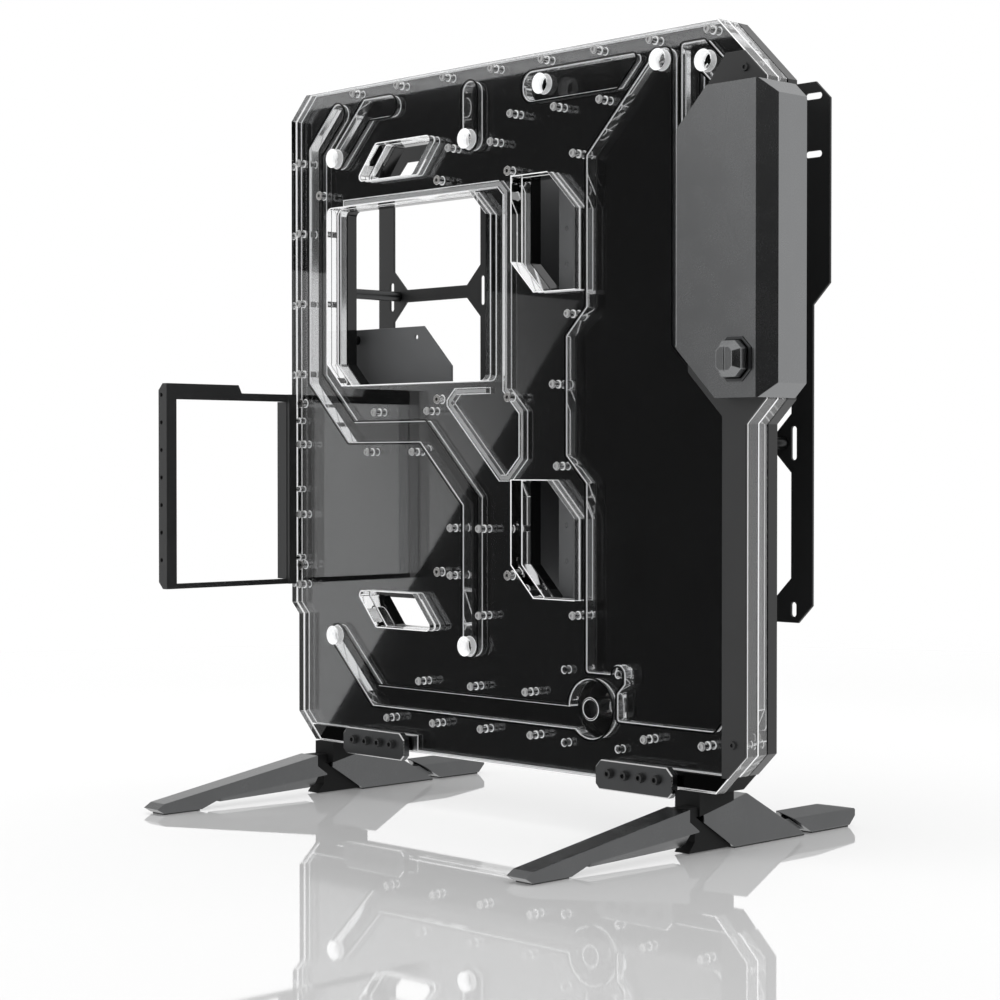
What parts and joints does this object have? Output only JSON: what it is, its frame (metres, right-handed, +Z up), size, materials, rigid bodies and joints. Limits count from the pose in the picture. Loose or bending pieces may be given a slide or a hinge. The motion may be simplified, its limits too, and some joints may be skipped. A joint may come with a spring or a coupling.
{
  "type": "open computer case",
  "caption": "Open frame computer case on two feet: a layered clear and black acrylic plate with water channels, a tank and a pump, carrying board, cards, radiators and supply.",
  "frame": {"origin": "on the floor, under the middle of the case's bounding box", "axes": "+X to the right seen from the front, along the plate; +Y from the front to the back; +Z up"},
  "size_m": [0.4972, 0.322, 0.5325],
  "materials": {
    "clear_acrylic": "polished clear acrylic",
    "black_acrylic": "polished black acrylic",
    "seal_rubber": "soft black",
    "light": "milky diffuser",
    "steel": "bright",
    "inserts": "turned and nickel plated",
    "black_plastic": "fine grain",
    "grey_plastic": "moulded",
    "black_metal": "satin black powder coat",
    "posts": "turned and anodised",
    "grey_metal": "blasted and anodised grey",
    "dark_metal": "blasted and anodised black"
  },
  "bodies": {
    "case": {"front_clear_sheet": "clear_acrylic", "channel_sheet": "clear_acrylic", "pump_inlet_ring": "clear_acrylic", "back_black_sheet": "black_acrylic", "channel_seals": "seal_rubber", "pump_gasket": "seal_rubber", "foot_pads": "seal_rubber", "light_strip": "light", "sheet_screws": "steel", "pump_shaft": "steel", "trim_screws": "steel", "pcie_frame_screws": "steel", "bracket_screws": "steel", "psu_cover_screws": "steel", "drive_screws": "steel", "clamp_screws": "steel", "pump_screws": "steel", "board_inserts": "inserts", "pump_housing": "black_plastic", "button_switch": "black_plastic", "io_trim_plate": "black_metal", "pcie_frame": "black_metal", "radiator_bracket_left": "black_metal", "radiator_bracket_right": "black_metal", "psu_cover": "black_metal", "drive_plate": "black_metal", "button_bezel": "black_metal", "bracket_posts": "posts", "drive_spacers": "posts", "io_cover": "grey_metal", "front_leg_left": "grey_metal", "front_leg_right": "grey_metal", "rear_leg_left": "grey_metal", "rear_leg_right": "grey_metal", "rear_toe_left": "grey_metal", "rear_toe_right": "grey_metal", "foot_hub_left": "dark_metal", "foot_hub_right": "dark_metal", "clamp_plate_left": "dark_metal", "clamp_plate_right": "dark_metal"},
    "button": {"power_button": "grey_metal"},
    "impeller": {"impeller": "grey_plastic"}
  },
  "joints": [
    {"name": "button_press", "type": "slide", "parent": "case", "child": "button", "axis": [0, 1, 0], "range_m": [0, 0.0025], "stiffness_N_per_m": 400, "springref_m": -0.001},
    {"name": "impeller_spin", "type": "hinge", "parent": "case", "child": "impeller", "pos_m": [0.08025, 0.047, 0.084], "axis": [0, 1, 0], "continuous": true}
  ]
}
